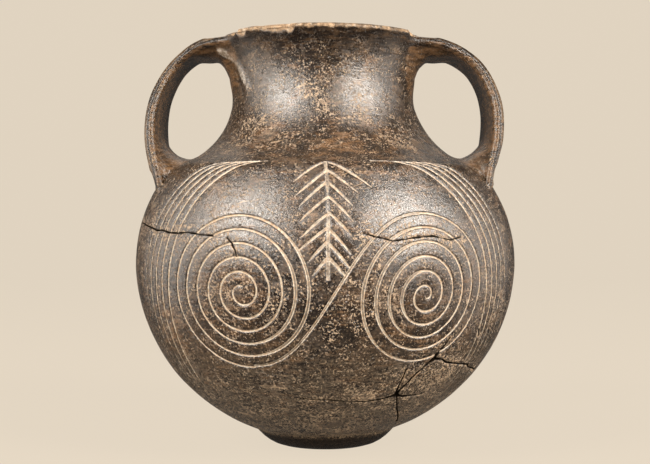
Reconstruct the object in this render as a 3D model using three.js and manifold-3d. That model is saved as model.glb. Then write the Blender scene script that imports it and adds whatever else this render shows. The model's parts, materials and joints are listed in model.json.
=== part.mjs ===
// Impasto amphora: one piece of fired clay, in millimetres, +Z up.
// The origin is on the ground under the middle of the foot.
// The decorated front faces -Y and the two strap handles stand at -X and +X.
import * as THREE from 'three'
import { mergeVertices } from 'three/addons/utils/BufferGeometryUtils.js'
import Module from 'manifold-3d'

const wasm = await Module()
wasm.setup()

// Driving dimensions of the vessel
const bellyRadius = 75 // widest part of the body
const bellyHeight = 72 // height of the widest part
const waistRadius = 35.7 // narrowest part of the neck
const waistHeight = 141
const lowerBellyDepth = bellyHeight - 1.4 // half axis of the ellipse under the widest part
const upperBellyRise = waistHeight - bellyHeight - 5 // half axis of the ellipse over it
const neckCurve = 33 // radius of the hollow curve of the neck
const lipHeight = 160
const lipRounding = 1.3
const footRestRadius = 17 // flat disc that the vessel stands on
const footRadius = 27
const footHeight = 5.6

// Thickness of the clay
const wall = 5.5
const floorThickness = 8
const lipThickness = 4

// What the potter's hand left uneven
const neckLean = -1.5 // the neck stands this far towards -X at the lip
const rimLift = 0.9 // the lip rises this much towards each handle

// Strap handles
const strapWidths = [ // at shares of its length, from the neck to the shoulder
  { at: 0, width: 33 }, { at: 0.33, width: 26 }, { at: 0.64, width: 41 }, { at: 1, width: 54 }
]
const strapThickness = 3.8
const strapNeckFillet = 3.5 // clay smeared under its neck end
const strapRootFillet = 11 // and under its lower end
const strapRidge = 1 // how far the two border ridges stand out
const strapRidgeInset = 3
const strapGutterInset = 6.5
const strapEdge = 1.6 // half height of the rounded border
const strapPressed = 0.25 // share of its length, at each end, that bends round the pot
const strapReach = { left: bellyRadius - 7.8, right: bellyRadius - 8.5 } // its middle line's farthest point
const strapStart = 3.4 // its middle line starts this far under the lip
const strapSunk = 2.4 // and this deep in the neck
const strapBends = [ // shares of the way out from there, and of the rise from shoulder to lip
  { out: 0.233, up: 0.925 }, { out: 0.52, up: 0.851 }, { out: 0.77, up: 0.723 },
  { out: 0.94, up: 0.515 }, { out: 1, up: 0.274 }, { out: 0.96, up: 0.058 },
  { out: 0.9, up: -0.109 }, { out: 0.827, up: -0.256 }
]

// Incised lines
const lineWidth = 1.4
const lineDepth = 1
const crackWidth = 1.4
const crackDepth = 1.6

// Facets
const aroundOuter = 44
const aroundInner = 22
const coilStep = 9 // longest straight piece of a cut along a coil
const sweepStep = 16 // and along a flatter line
const closestCorners = 0.02 // corners nearer than this become one
const meetingStep = 0.02 // of the search for the height where shoulder and neck meet

// A cutting wedge starts so far over the surface that its straight pieces clear the tightest bend
const tightestBend = Math.min(lowerBellyDepth, upperBellyRise) ** 2 / bellyRadius
const lineOver = sweepStep ** 2 / (8 * tightestBend) + 0.05

const degree = Math.PI / 180

function smooth (from, to, value) {
  const t = Math.min(1, Math.max(0, (value - from) / (to - from)))
  return t * t * (3 - 2 * t)
}

// Radius of an ellipse, half axes wide and tall, at a height over its middle
function ellipseRadius (wide, tall, height) {
  return wide * Math.sqrt(Math.max(0, 1 - (height / tall) ** 2))
}

// The neck is a hollow arc: its middle lies outside, level with the waist
const neckArcMiddle = waistRadius + neckCurve

function neckRadius (z, thickness) {
  const arc = neckCurve + thickness
  const rise = z - waistHeight
  return neckArcMiddle - Math.sqrt(Math.max(0, arc * arc - rise * rise))
}

function outerRadius (z) {
  const tall = z < bellyHeight ? lowerBellyDepth : upperBellyRise
  const body = ellipseRadius(bellyRadius, tall, z - bellyHeight)
  return z > waistHeight - neckCurve ? Math.min(body || Infinity, neckRadius(z, 0)) : body
}

// Height at which the shoulder turns into the neck: the lowest place where the neck is the
// narrower of the two, or else the place where they come nearest
function meetingHeight (bodyWide, bodyTall, thickness) {
  let height = Math.max(bellyHeight, waistHeight - neckCurve - thickness)
  let [best, nearest] = [height, Infinity]
  while (nearest > 0 && height < bellyHeight + bodyTall) {
    const gap = neckRadius(height, thickness) - ellipseRadius(bodyWide, bodyTall, height - bellyHeight)
    if (gap < nearest) [best, nearest] = [height, gap]
    height += meetingStep
  }
  return best
}

// Points of an ellipse arc from one elevation angle to another, as seen from its middle
function ellipseArc (wide, tall, fromAngle, toAngle, steps) {
  const points = []
  for (let i = 0; i <= steps; i += 1) {
    const angle = fromAngle + (toAngle - fromAngle) * i / steps
    points.push(new THREE.Vector2(wide * Math.cos(angle), bellyHeight + tall * Math.sin(angle)))
  }
  return points
}

function neckArc (fromHeight, toHeight, thicknessAt, steps) {
  const points = []
  for (let i = 0; i <= steps; i += 1) {
    const z = fromHeight + (toHeight - fromHeight) * i / steps
    points.push(new THREE.Vector2(neckRadius(z, thicknessAt(z)), z))
  }
  return points
}

function outerProfile () {
  const points = [new THREE.Vector2(0, 0), new THREE.Vector2(footRestRadius, 0)]
  for (const share of [0.5, 0.8, 1]) {
    points.push(new THREE.Vector2(
      footRestRadius + (footRadius - footRestRadius) * share, footHeight * share ** 2
    ))
  }
  const bodyStart = -Math.acos((footRadius + 0.6) / bellyRadius)
  const corner = meetingHeight(bellyRadius, upperBellyRise, 0)
  const bodyEnd = Math.asin((corner - bellyHeight) / upperBellyRise)
  points.push(...ellipseArc(bellyRadius, lowerBellyDepth, bodyStart, 0, 8))
  points.push(...ellipseArc(bellyRadius, upperBellyRise, 0, bodyEnd, 4).slice(1))
  points.push(...neckArc(corner, lipHeight - lipRounding, () => 0, 6).slice(1))
  const edge = points[points.length - 1]
  points.push(new THREE.Vector2(edge.x - lipRounding * 0.2, lipHeight - lipRounding * 0.3))
  points.push(new THREE.Vector2(edge.x - lipRounding, lipHeight))
  points.push(new THREE.Vector2(0, lipHeight))
  return points
}

function innerProfile () {
  const wide = bellyRadius - wall
  const deep = bellyHeight - floorThickness
  const tall = upperBellyRise - wall
  const corner = meetingHeight(wide, tall, wall)
  const bodyEnd = Math.asin((corner - bellyHeight) / tall)
  const thicknessAt = (z) => wall + (lipThickness - wall) * smooth(waistHeight, lipHeight, z)
  const points = ellipseArc(wide, deep, -Math.PI / 2, 0, 5)
  points[0].x = 0
  points.push(...ellipseArc(wide, tall, 0, bodyEnd, 3).slice(1))
  points.push(...neckArc(corner, lipHeight - lipRounding, thicknessAt, 4).slice(1))
  const mouth = points[points.length - 1]
  points.push(new THREE.Vector2(mouth.x + lipRounding, lipHeight + lipRounding))
  points.push(new THREE.Vector2(mouth.x + lipRounding, lipHeight + neckCurve))
  points.push(new THREE.Vector2(0, lipHeight + neckCurve))
  return points
}

// Leans the neck and lifts the lip towards the handles; share is how far that applies
function unevenPoint (x, y, z, share = 1) {
  const lean = neckLean * smooth(waistHeight - neckCurve, lipHeight, z)
  const aside = Math.min(1, Math.abs(x) / (waistRadius + lipThickness))
  const lift = rimLift * smooth(waistHeight, lipHeight, z) * aside ** 2
  return [x + lean * share, y, z + lift * share]
}

function turnedBody (profile, segments) {
  const geometry = new THREE.LatheGeometry(profile, segments)
  geometry.rotateX(Math.PI / 2)
  const place = geometry.attributes.position
  for (let i = 0; i < place.count; i += 1) {
    place.setXYZ(i, ...unevenPoint(place.getX(i), place.getY(i), place.getZ(i)))
  }
  return geometry
}

// Skins a row of closed rings, each with the same number of points, and caps both ends
function loft (rings) {
  const sides = rings[0].length
  const positions = rings.flat().flatMap((p) => [p.x, p.y, p.z])
  const index = []
  for (let r = 0; r + 1 < rings.length; r += 1) {
    for (let s = 0; s < sides; s += 1) {
      const a = r * sides + s
      const b = r * sides + (s + 1) % sides
      index.push(a, b, b + sides, a, b + sides, a + sides)
    }
  }
  const last = (rings.length - 1) * sides
  for (let s = 1; s + 1 < sides; s += 1) {
    index.push(0, s + 1, s)
    index.push(last, last + s, last + s + 1)
  }
  const geometry = new THREE.BufferGeometry()
  geometry.setAttribute('position', new THREE.Float32BufferAttribute(positions, 3))
  geometry.setIndex(index)
  return geometry
}

// Turns a closed geometry into a solid, with its faces pointing out
function solidOf (geometry, nearest = 1e-4) {
  const bare = geometry.clone()
  bare.deleteAttribute('normal')
  bare.deleteAttribute('uv')
  const merged = mergeVertices(bare, nearest)
  const vertProperties = Float32Array.from(merged.attributes.position.array)
  const corners = []
  const source = merged.index.array
  for (let i = 0; i < source.length; i += 3) {
    const [a, b, c] = [source[i], source[i + 1], source[i + 2]]
    if (a !== b && b !== c && c !== a) corners.push(a, b, c)
  }
  if (signedVolume(vertProperties, corners) < 0) corners.reverse()
  return new wasm.Manifold(new wasm.Mesh({
    numProp: 3, vertProperties, triVerts: Uint32Array.from(corners)
  }))
}

function geometryOf (solid) {
  const mesh = solid.getMesh()
  const geometry = new THREE.BufferGeometry()
  geometry.setAttribute('position', new THREE.Float32BufferAttribute(mesh.vertProperties, 3))
  geometry.setIndex(Array.from(mesh.triVerts))
  return geometry
}

function signedVolume (places, corners) {
  const [a, b, c] = [new THREE.Vector3(), new THREE.Vector3(), new THREE.Vector3()]
  let volume = 0
  for (let i = 0; i < corners.length; i += 3) {
    a.fromArray(places, corners[i] * 3)
    b.fromArray(places, corners[i + 1] * 3)
    c.fromArray(places, corners[i + 2] * 3)
    volume += a.dot(b.cross(c)) / 6
  }
  return volume
}

// Section of the strap: x runs across it, y from its inner to its outer face
function strapSection (width, thickness, fillet) {
  const half = width / 2
  const outer = thickness / 2
  const rightHalf = [
    [half, 0],
    [half - strapRidgeInset * 0.4, strapEdge + strapRidge * 0.5],
    [half - strapRidgeInset, outer + strapRidge * 0.5],
    [half - strapGutterInset, outer - strapRidge * 0.5]
  ]
  const leftHalf = rightHalf.map(([x, y]) => [-x, y]).reverse()
  const inner = [[-half + strapEdge, -outer - fillet], [half - strapEdge, -outer - fillet]]
  return [...rightHalf, ...leftHalf, ...inner]
}

// Middle line of a strap in the XZ plane: out of the lip, down, and into the shoulder
function strapLine (reach) {
  const startHeight = lipHeight - strapStart
  const start = new THREE.Vector3(neckRadius(startHeight, 0) - strapSunk, 0, startHeight)
  const shoulder = meetingHeight(bellyRadius, upperBellyRise, 0)
  const bends = strapBends.map(({ out, up }) => new THREE.Vector3(
    start.x + (reach - start.x) * out, 0, shoulder + (lipHeight - shoulder) * up
  ))
  return new THREE.CatmullRomCurve3([start, ...bends])
}

function strapWidthAt (t) {
  const next = Math.max(1, strapWidths.findIndex((place) => place.at >= t))
  const [from, to] = [strapWidths[next - 1], strapWidths[next]]
  return from.width + (to.width - from.width) * smooth(from.at, to.at, t)
}

function strap (side, reach) {
  const line = strapLine(reach)
  const steps = 11
  const rings = []
  for (let i = 0; i <= steps; i += 1) {
    const t = i / steps
    const middle = line.getPointAt(t)
    const along = line.getTangentAt(t)
    const outward = new THREE.Vector3(along.z, 0, -along.x).multiplyScalar(-1)
    const fillet = strapNeckFillet * smooth(0.16, 0, t) + strapRootFillet * smooth(0.62, 0.98, t)
    const section = strapSection(strapWidthAt(t), strapThickness, fillet)
    const pressed = smooth(strapPressed, 0, t) + smooth(1 - strapPressed, 1, t)
    rings.push(section.map(([across, out]) => {
      const place = middle.clone().addScaledVector(outward, out)
      const hollow = middle.x - Math.sqrt(middle.x ** 2 - across ** 2)
      const x = side * (place.x - pressed * hollow)
      return new THREE.Vector3(...unevenPoint(x, across, place.z, smooth(0.35, 0, t)))
    }))
  }
  return loft(rings)
}

// A direction seen from the middle of the belly: theta from the front towards +X, phi up
function direction (theta, phi) {
  return new THREE.Vector3(
    Math.sin(theta) * Math.cos(phi), -Math.cos(theta) * Math.cos(phi), Math.sin(phi)
  )
}

// The point of the outer surface in that direction, and the surface's own outward normal
function onSurface (theta, phi) {
  const tall = phi < 0 ? lowerBellyDepth : upperBellyRise
  const ray = direction(theta, phi)
  const reach = 1 / Math.hypot(Math.cos(phi) / bellyRadius, Math.sin(phi) / tall)
  const normal = new THREE.Vector3(
    ray.x / bellyRadius ** 2, ray.y / bellyRadius ** 2, ray.z / tall ** 2
  ).normalize()
  const point = ray.multiplyScalar(reach)
  point.z += bellyHeight
  return { point, normal }
}

// From a centre on the belly, go this far over the surface along a bearing (0 is +theta)
function around (centre, distance, bearing) {
  const angle = distance / bellyRadius
  const ahead = direction(centre.theta, centre.phi)
  const right = new THREE.Vector3(Math.cos(centre.theta), Math.sin(centre.theta), 0)
  const up = ahead.clone().cross(right)
  const ray = ahead.multiplyScalar(Math.cos(angle))
    .addScaledVector(right, Math.sin(angle) * Math.cos(bearing))
    .addScaledVector(up, Math.sin(angle) * Math.sin(bearing))
  return [Math.atan2(ray.x, -ray.y), Math.asin(ray.z)]
}

// The wedge that cuts one line: a ring of three points at each place along it
function wedge (route, width, depth) {
  const places = route.map(([theta, phi]) => onSurface(theta, phi))
  const flare = (depth + lineOver) / depth * width / 2
  return loft(places.map(({ point, normal }, i) => {
    const before = places[Math.max(0, i - 1)].point
    const after = places[Math.min(places.length - 1, i + 1)].point
    const across = after.clone().sub(before).cross(normal).normalize()
    const top = point.clone().addScaledVector(normal, lineOver)
    return [
      top.clone().addScaledVector(across, flare),
      top.clone().addScaledVector(across, -flare),
      point.clone().addScaledVector(normal, -depth)
    ]
  }))
}

// The double spiral: two coils that open anticlockwise, joined by one slanting stroke
const leftSpiral = {
  theta: -22.6 * degree, phi: -6.85 * degree, start: 0.9, pitch: 4.89,
  from: 75.3 * degree, to: 2071.8 * degree, wobble: -0.25
}
const rightSpiral = {
  theta: 27.9 * degree, phi: -7.8 * degree, start: 2.1, pitch: 4.85,
  from: -88.9 * degree, to: 1892.4 * degree, wobble: 0.13
}

function spiralRoute (spiral) {
  const route = []
  const distanceAt = (bearing) => spiral.start +
    (spiral.pitch + spiral.wobble * Math.cos(bearing)) * bearing / (2 * Math.PI)
  let bearing = spiral.from
  while (bearing < spiral.to) {
    const distance = distanceAt(bearing)
    route.push(around(spiral, distance, bearing))
    bearing += Math.min(40 * degree, coilStep / distance)
  }
  route.push(around(spiral, distanceAt(spiral.to), spiral.to))
  return route
}

// Even steps along a curve of theta and phi, none longer than the given step on the clay
function spaced (curve, step) {
  const count = Math.ceil(curve.getLength() * bellyRadius / step)
  return curve.getSpacedPoints(count).map((p) => [p.x, p.y])
}

function smoothRoute (route, step) {
  return spaced(new THREE.SplineCurve(route.map((p) => new THREE.Vector2(...p))), step)
}

function joiningStroke (from, to, bend) {
  return spaced(new THREE.CubicBezierCurve(
    new THREE.Vector2(...from), new THREE.Vector2(from[0] + bend, from[1]),
    new THREE.Vector2(to[0] - bend, to[1]), new THREE.Vector2(...to)
  ), sweepStep)
}

// A band of lines each side: each climbs the belly and bends over to the foot of the neck
const bands = [
  { side: -1, lines: 5, inner: 17.8, step: 3.6, reach: 33, narrowing: 0.12 },
  { side: 1, lines: 5, inner: 18.3, step: 4.7, reach: 35, narrowing: 1.7 }
]
const bandMiddlePhi = -28.4
const bandRise = 60
const bandPower = 2.3 // of the rounded quarter that each line follows
const bandLowest = -43
const bandEndAngle = 86

function bandRoute (band, line, turn) {
  const inner = band.inner + band.step * line
  const reach = band.reach - band.narrowing * line
  const route = [[inner + reach, bandLowest], [inner + reach, bandMiddlePhi - 5]]
  for (let angle = 0; angle <= bandEndAngle; angle += bandEndAngle / 12) {
    route.push([
      inner + reach * Math.cos(angle * degree) ** (2 / bandPower),
      bandMiddlePhi + bandRise * Math.sin(angle * degree) ** (2 / bandPower)
    ])
  }
  const place = ([theta, phi]) => [turn + band.side * theta * degree, phi * degree]
  return smoothRoute(route.map(place), sweepStep)
}

// The upright branch between the spirals, with its twigs drooping to both sides
const branch = {
  theta: 0.8, top: 31, bottom: -3, twigs: 8, twigStep: 4.15,
  longLeft: 9.6, shortLeft: 4, longRight: 12, shortRight: 4.6, droop: 0.87
}

function branchRoutes () {
  const trunk = [0, 0.25, 0.5, 0.75, 1].map((t) => [
    branch.theta * degree, (branch.top + (branch.bottom - branch.top) * t) * degree
  ])
  const twigs = []
  for (let i = 0; i < branch.twigs; i += 1) {
    const share = i / (branch.twigs - 1)
    const root = branch.top - 0.3 - branch.twigStep * i
    const left = branch.longLeft + (branch.shortLeft - branch.longLeft) * share
    const right = branch.longRight + (branch.shortRight - branch.longRight) * Math.sqrt(share)
    for (const [side, length] of [[-1, left], [1, right]]) {
      const fall = length * branch.droop
      const line = [[0.6, 0], [length * 0.55, fall * 0.45], [length, fall]]
      twigs.push(line.map(([out, down]) => [
        (branch.theta + side * out) * degree, (root - down) * degree
      ]))
    }
  }
  return { trunk, twigs }
}

// The plainer back: two shorter, wider coils and one line each side
const backTurn = Math.PI
const backLeft = { ...leftSpiral, theta: leftSpiral.theta + backTurn, pitch: 8, to: 992 * degree }
const backRight = { ...rightSpiral, theta: rightSpiral.theta + backTurn, pitch: 8, to: 812 * degree }
const backBandLines = 1

// Mended breaks of the lower right front, as angles of theta and phi
const cracks = [
  [[38.5, -21], [35.6, -25.5], [31, -31], [27, -38], [20.5, -42], [9, -42.3], [-4, -41.3]],
  [[36, -26.3], [45, -28.5], [55, -30.5], [66, -33.2]],
  [[27, -39], [33, -40.2], [40, -40]],
  [[-61, 10.2], [-54, 9.6], [-46, 8.8], [-37, 8.6]]
]

// Chips of the lip: an angle from the front, half their breadth and their depth
const chips = [
  { at: -52, half: 8, deep: 2 },
  { at: -26, half: 10.5, deep: 2.2 }
]

// A chip is cut off by a slab that leans over the lip's outer edge
function chipSlab (chip) {
  const rim = outerRadius(lipHeight - lipRounding)
  const rings = [-1, -0.4, 0.4, 1].map((share) => {
    const angle = (chip.at + share * chip.half) * degree
    const bite = chip.deep * (1 - 0.75 * share * share)
    const corners = [
      [rim - bite, lipHeight + 3], [rim - bite * 0.4, lipHeight - bite],
      [rim + 4, lipHeight - bite - 1.5], [rim + 4, lipHeight + 3]
    ]
    return corners.map(([radius, z]) => new THREE.Vector3(...unevenPoint(
      radius * Math.sin(angle), -radius * Math.cos(angle), z
    )))
  })
  return loft(rings)
}

function carvedLines () {
  const cuts = []
  for (const spiral of [leftSpiral, rightSpiral, backLeft, backRight]) {
    cuts.push(wedge(spiralRoute(spiral), lineWidth, lineDepth))
  }
  for (const [left, right] of [[leftSpiral, rightSpiral], [backLeft, backRight]]) {
    const from = spiralRoute(left).at(-1)
    const to = spiralRoute(right).at(-1)
    const past = left === backLeft && to[0] < from[0] ? 2 * Math.PI : 0
    const route = joiningStroke(from, [to[0] + past, to[1]], 22.8 * degree)
    cuts.push(wedge(route, lineWidth, lineDepth))
  }
  for (const band of bands) {
    for (let line = 0; line < band.lines; line += 1) {
      cuts.push(wedge(bandRoute(band, line, 0), lineWidth, lineDepth))
    }
    for (let line = 0; line < backBandLines; line += 1) {
      cuts.push(wedge(bandRoute(band, line, backTurn), lineWidth, lineDepth))
    }
  }
  const { trunk, twigs } = branchRoutes()
  cuts.push(wedge(trunk, lineWidth * 1.6, lineDepth))
  for (const twig of twigs) cuts.push(wedge(twig, lineWidth, lineDepth))
  for (const crack of cracks) {
    const route = crack.map(([theta, phi]) => [theta * degree, phi * degree])
    cuts.push(wedge(smoothRoute(route, sweepStep), crackWidth, crackDepth))
  }
  return cuts
}

function amphoraGeometry () {
  let clay = solidOf(turnedBody(outerProfile(), aroundOuter))
  clay = clay.add(solidOf(strap(-1, strapReach.left)))
  clay = clay.add(solidOf(strap(1, strapReach.right)))
  clay = clay.subtract(solidOf(turnedBody(innerProfile(), aroundInner)))
  for (const cut of carvedLines()) clay = clay.subtract(solidOf(cut))
  for (const chip of chips) clay = clay.subtract(solidOf(chipSlab(chip)))
  return geometryOf(solidOf(geometryOf(clay), closestCorners))
}

const burnishedClay = new THREE.MeshStandardMaterial({ color: 0x4a3a2c, roughness: 0.55, metalness: 0 })

const amphora = new THREE.Mesh(amphoraGeometry(), burnishedClay)
amphora.name = 'amphora'

const vessel = new THREE.Group()
vessel.add(amphora)

export default vessel
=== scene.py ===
import json
import math
import bpy
import numpy as np
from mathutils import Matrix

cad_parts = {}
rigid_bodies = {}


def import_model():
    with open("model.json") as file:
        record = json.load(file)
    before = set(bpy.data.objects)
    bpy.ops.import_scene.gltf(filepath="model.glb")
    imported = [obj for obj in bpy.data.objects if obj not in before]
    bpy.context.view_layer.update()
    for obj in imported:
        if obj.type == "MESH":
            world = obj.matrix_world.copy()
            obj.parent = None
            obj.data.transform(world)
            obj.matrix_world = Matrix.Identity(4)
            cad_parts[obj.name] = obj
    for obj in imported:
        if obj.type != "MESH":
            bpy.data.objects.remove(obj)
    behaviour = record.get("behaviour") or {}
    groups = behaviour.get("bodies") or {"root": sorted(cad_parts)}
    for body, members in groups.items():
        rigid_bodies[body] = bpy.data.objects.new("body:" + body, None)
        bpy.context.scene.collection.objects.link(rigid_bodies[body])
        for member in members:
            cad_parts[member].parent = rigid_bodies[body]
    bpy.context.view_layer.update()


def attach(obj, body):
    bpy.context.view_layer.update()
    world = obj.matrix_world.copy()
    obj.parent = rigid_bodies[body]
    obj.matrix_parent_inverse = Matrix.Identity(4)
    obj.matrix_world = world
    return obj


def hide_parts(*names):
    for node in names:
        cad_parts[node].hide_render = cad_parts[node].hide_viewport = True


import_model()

# All shapes are worked out in millimetres and become metres when the mesh is made.
# Places on the decorated body are theta (round from the front towards +X) and phi (up),
# both seen from the middle of the belly.

vessel = {
    "bellyRadius": 74.9, "bellyHeight": 72.0, "lowerDepth": 70.5, "upperRise": 63.9,
    "waistRadius": 35.6, "waistHeight": 141.0, "neckCurve": 33.0,
    "lipHeight": 160.15, "lipWall": 3.5, "lipRound": 1.3,
    "restRadius": 17.0, "footRadius": 26.9, "footHeight": 5.6,
    "wall": 5.5, "floor": 8.0,
    "cornerRound": 5.0, "innerCornerRound": 8.0,
    "around": 204, "outerStep": 2.3, "innerStep": 8.0,
    "neckLean": -1.5, "lipLift": 0.5,
    "lumps": 0.28, "lumpSize": 26.0, "dents": 0.09, "dentSize": 7.0,
}

def smooth(low, high, value):
    t = np.clip((value - low) / (high - low), 0.0, 1.0)
    return t * t * (3.0 - 2.0 * t)

def resample(line, count):
    # even steps along a polyline
    gone = np.concatenate([[0.0], np.cumsum(np.linalg.norm(np.diff(line, axis=0), axis=1))])
    steps = np.linspace(0.0, gone[-1], count)
    return np.stack([np.interp(steps, gone, line[:, k]) for k in range(line.shape[1])], axis=1)

def flowingLine(corners, count):
    # a cubic curve through the corners, at even steps
    p = np.asarray(corners, dtype=float)
    p = np.vstack([2 * p[0] - p[1], p, 2 * p[-1] - p[-2]])
    t = np.linspace(0.0, 1.0, 24, endpoint=False)[:, None]
    spans = []
    for a, b, c, d in zip(p[:-3], p[1:-2], p[2:-1], p[3:]):
        spans.append(0.5 * (2 * b + (c - a) * t + (2 * a - 5 * b + 4 * c - d) * t ** 2
                            + (3 * b - a - 3 * c + d) * t ** 3))
    spans.append(p[-2][None, :])
    return resample(np.vstack(spans), count)

def clayNoise(points, size, seed):
    # smooth random lumps: a lattice of random numbers, blended between its eight nearest corners
    lattice = np.random.default_rng(seed).uniform(-1.0, 1.0, (32, 32, 32))
    place = np.asarray(points) / size + 1000.0
    cell = np.floor(place).astype(int)
    t = place - cell
    t = t * t * (3.0 - 2.0 * t)
    total = np.zeros(len(place))
    for corner in range(8):
        bits = np.array([corner & 1, corner >> 1 & 1, corner >> 2 & 1])
        share = np.prod(np.where(bits, t, 1.0 - t), axis=1)
        i, j, k = ((cell + bits) % 32).T
        total += share * lattice[i, j, k]
    return total

def neckRadius(z, thickness):
    # a hollow arc whose middle lies outside the neck, level with the waist
    arc = vessel["neckCurve"] + thickness
    rise = z - vessel["waistHeight"]
    return (vessel["waistRadius"] + vessel["neckCurve"]
            - np.sqrt(np.maximum(0.0, arc * arc - rise * rise)))

def bodyRadius(z, thickness, depth):
    # an ellipse below the belly's widest line, a flatter one above
    rise = z - vessel["bellyHeight"]
    tall = np.where(rise < 0, depth, vessel["upperRise"] - thickness)
    share = np.clip(1.0 - (rise / tall) ** 2, 0.0, None)
    return (vessel["bellyRadius"] - thickness) * np.sqrt(share)

def sideRadius(z, thickness, depth, rounding):
    # the smaller of body and neck, with the corner between them rounded off
    body = bodyRadius(z, thickness, depth)
    start = vessel["waistHeight"] - vessel["neckCurve"] - thickness
    neck = np.where(z > start + 0.01, neckRadius(z, thickness), 200.0)
    near = np.clip(1.0 - np.abs(body - neck) / rounding, 0.0, 1.0)
    onNeck = z > start + 8.0
    return np.where(onNeck, neck, np.minimum(body, neck) - near * near * rounding / 4.0)

def outerRadius(z):
    return sideRadius(z, 0.0, vessel["lowerDepth"], vessel["cornerRound"])

def outerLine():
    # from the middle of the underside, out over the foot, up the body and neck to the lip
    v = vessel
    rest = np.linspace([0.0, 0.0], [v["restRadius"], 0.0], 8)
    share = np.linspace(0.0, 1.0, 7)[1:]
    foot = np.stack([v["restRadius"] + (v["footRadius"] - v["restRadius"]) * share,
                     v["footHeight"] * share ** 2], axis=1)
    # the body starts where its ellipse is just wider than the foot
    start = -math.acos((v["footRadius"] + 0.5) / v["bellyRadius"])
    angle = np.linspace(start, 0.0, 60)
    lower = np.stack([v["bellyRadius"] * np.cos(angle),
                      v["bellyHeight"] + v["lowerDepth"] * np.sin(angle)], axis=1)
    z = np.linspace(v["bellyHeight"] + 0.5, v["lipHeight"] - v["lipRound"], 260)
    upper = np.stack([outerRadius(z), z], axis=1)
    return np.vstack([rest, foot, lower, upper])

def innerLine():
    # from the lip down the neck and round the hollow body to the middle of the floor
    v = vessel
    z = np.linspace(v["lipHeight"] - v["lipRound"], v["bellyHeight"] + 0.5, 160)
    thickness = v["wall"] + (v["lipWall"] - v["wall"]) * smooth(v["waistHeight"], v["lipHeight"], z)
    depth = v["bellyHeight"] - v["floor"]
    upper = np.stack([sideRadius(z, thickness, depth, v["innerCornerRound"]), z], axis=1)
    angle = np.linspace(0.0, -math.pi / 2, 60)
    wide = v["bellyRadius"] - v["wall"]
    lower = np.stack([wide * np.cos(angle), v["bellyHeight"] + depth * np.sin(angle)], axis=1)
    return np.vstack([upper, lower])

def tubeFaces(rows, around):
    # two triangles for each cell between neighbouring rings, then a fan at each end round a
    # middle point; the two middle points come after the rings
    ring, after = np.arange(around), (np.arange(around) + 1) % around
    step = np.arange(rows - 1)[:, None] * around
    a, b = (step + ring).ravel(), (step + after).ravel()
    last = (rows - 1) * around
    pole = np.full(around, rows * around)
    return np.vstack([np.stack([a, b, b + around], 1), np.stack([a, b + around, a + around], 1),
                      np.stack([after, ring, pole], 1), np.stack([last + ring, last + after, pole + 1], 1)])

def vesselSurface():
    # one closed outline carried round the axis: radius and height by the place along it,
    # angle by the place round it, with one point for each of its two poles
    v = vessel
    outer, inner = outerLine(), innerLine()
    lip = np.array([[outer[-1, 0] - 0.25, v["lipHeight"] - 0.4], [outer[-1, 0] - 1.0, v["lipHeight"]],
                    [inner[0, 0] + 0.9, v["lipHeight"]], [inner[0, 0] + 0.2, v["lipHeight"] - 0.5]])
    outerLength = np.linalg.norm(np.diff(outer, axis=0), axis=1).sum()
    innerLength = np.linalg.norm(np.diff(inner, axis=0), axis=1).sum()
    outer = resample(outer, int(outerLength / v["outerStep"]))
    inner = resample(inner, int(innerLength / v["innerStep"]))
    line = np.vstack([outer[1:], lip, inner[:-1]])
    turn = np.arange(v["around"]) * 2 * math.pi / v["around"]
    r, z = line[:, 0][:, None], line[:, 1][:, None]
    grid = np.stack([r * np.sin(turn), -r * np.cos(turn), z + 0 * turn], axis=2).reshape(-1, 3)
    points = np.vstack([grid, [0, 0, 0], [0, 0, inner[-1, 1]]])
    return points, tubeFaces(len(line), v["around"])

straps = {
    "left": {"side": -1, "line": [
        (33.0, 156.2), (36.4, 156.6), (40.0, 156.9), (44.0, 156.6), (51.6, 153.7), (57.4, 149.6),
        (60.9, 145.3), (63.3, 140.9), (65.2, 136.3), (66.3, 131.7), (66.9, 127.1), (67.0, 122.6),
        (66.7, 118.2), (65.9, 113.8), (64.8, 109.4), (63.6, 104.6), (62.4, 99.6), (59.8, 94.0)]},
    "right": {"side": 1, "line": [
        (33.0, 156.2), (36.4, 156.6), (40.0, 156.9), (44.0, 156.8), (51.8, 154.2), (57.8, 150.0),
        (61.3, 145.6), (63.7, 140.9), (65.3, 136.3), (66.2, 131.7), (66.4, 127.1), (66.2, 122.6),
        (65.7, 118.2), (64.6, 113.8), (63.4, 109.4), (62.4, 104.6), (61.3, 99.6), (58.8, 94.0)]},
    "widths": [(0.0, 42.0), (0.05, 38.0), (0.13, 32.0), (0.33, 26.0), (0.64, 41.0), (0.8, 47.0),
               (1.0, 56.0)],
    "thickness": 3.8, "inWall": 2.6,
    "ridge": 0.55, "ridgeInset": 2.0, "ridgeWide": 1.1,
    "gutter": 0.45, "gutterInset": 4.6, "gutterWide": 1.2,
    "edgeGroove": 0.42, "edgeGrooveTurn": 0.95, "edgeGrooveWide": 0.22,
    "rootFillet": 20.0, "rootSunk": 13.0, "rootCrown": 3, "rootPressed": 0.1,
    "neckFillet": 11.5, "neckFilletTall": 1.25, "neckSunk": 1.4, "neckCrown": 6, "neckPressed": 0.23,
    "neckSwell": 3.0, "neckSwellFade": (0.25, 0.14),
    "along": 60, "across": 26, "edge": 12,
}

def quarterFillet(radius, away):
    # how thick a quarter-round fillet is at a distance from the wall that it runs up to
    return radius - np.sqrt(radius ** 2 - np.clip(radius - away, 0.0, radius) ** 2)

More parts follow.
